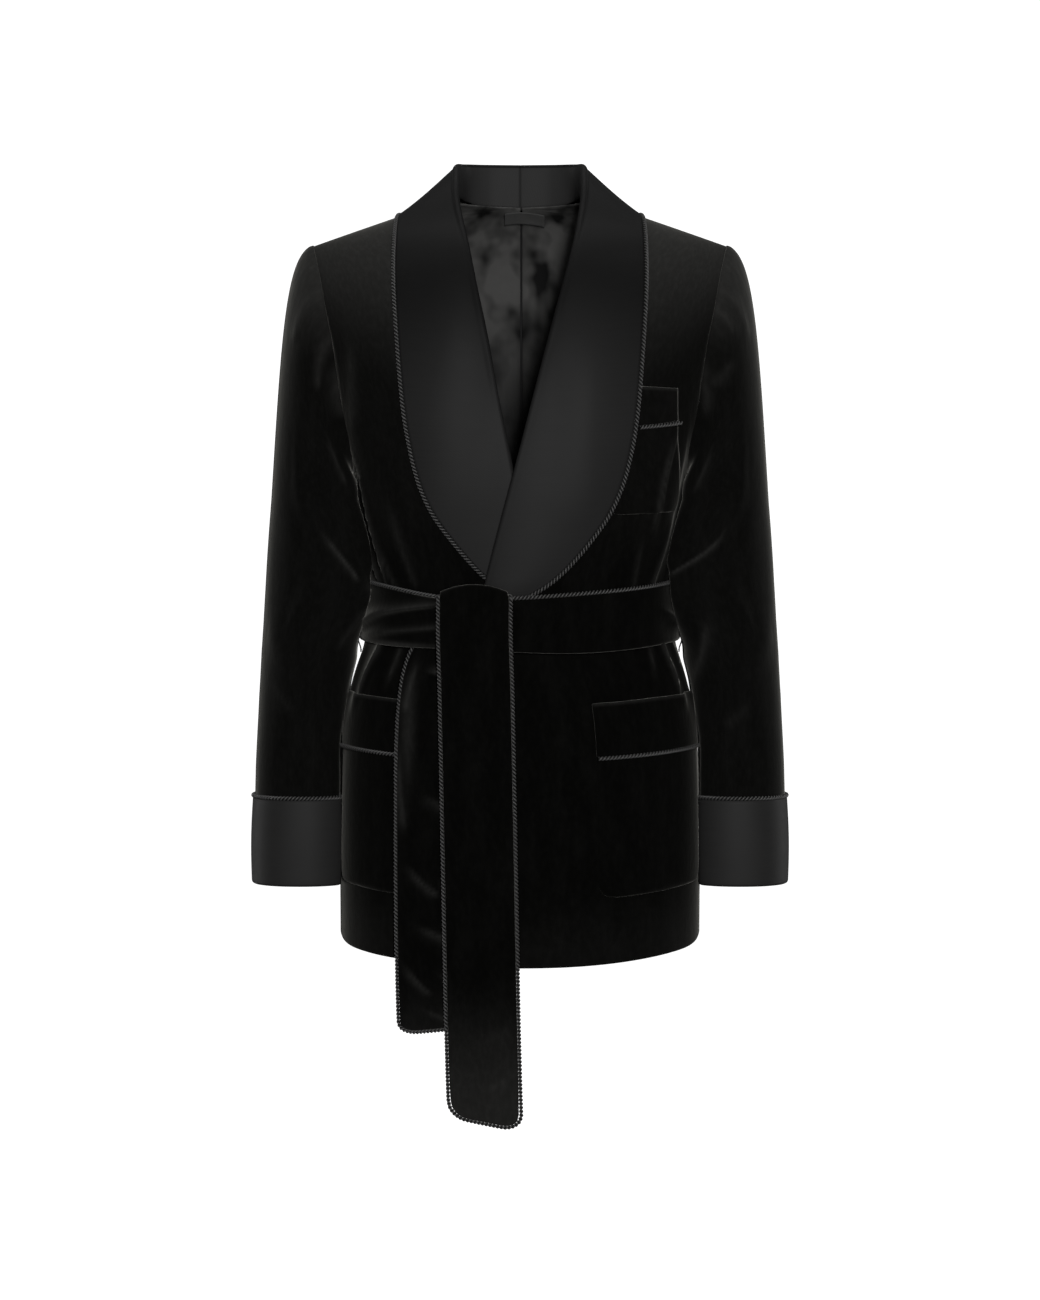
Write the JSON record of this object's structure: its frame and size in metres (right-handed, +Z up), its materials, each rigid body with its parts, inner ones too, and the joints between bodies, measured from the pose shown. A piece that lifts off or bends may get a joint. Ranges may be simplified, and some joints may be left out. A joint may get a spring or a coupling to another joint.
{
  "type": "belted velvet jacket",
  "caption": "Velvet smoking jacket, hollow as worn, with a wide satin shawl collar, turned-back satin cuffs, patch pockets, corded edges and a sash belt tied at the front waist.",
  "frame": {"origin": "on the shoulder line at the neck, midway between the shoulders, where the wearer's shoulders carry it", "axes": "+Z up, the front faces -Y, +X towards the wearer's left"},
  "size_m": [0.5371, 0.2759, 0.9465],
  "materials": {
    "velvet": "black cotton velvet, matt pile",
    "satin": "black satin, soft sheen",
    "lining": "dark satin lining",
    "cord": "twisted black cord"
  },
  "bodies": {
    "root": {"front_left": "velvet", "front_right": "velvet", "back_left": "velvet", "back_right": "velvet", "sleeve_left_top": "velvet", "sleeve_left_under": "velvet", "sleeve_right_top": "velvet", "sleeve_right_under": "velvet", "pocket_breast": "velvet", "pocket_left": "velvet", "pocket_right": "velvet", "band_breast": "velvet", "band_left": "velvet", "band_right": "velvet", "belt_band": "velvet", "belt_knot": "velvet", "belt_tail_front": "velvet", "belt_tail_under": "velvet", "collar_left": "satin", "collar_right": "satin", "cuff_left": "satin", "cuff_right": "satin", "neck_label": "satin", "lining_back_left": "lining", "lining_back_right": "lining", "cord_collar_left": "cord", "cord_collar_right": "cord", "cord_cuff_left": "cord", "cord_cuff_right": "cord", "cord_pocket_breast": "cord", "cord_pocket_left": "cord", "cord_pocket_right": "cord", "cord_belt_band": "cord", "cord_tail_front": "cord", "cord_tail_under": "cord", "belt_loop_left": "cord", "belt_loop_right": "cord"}
  },
  "joints": []
}
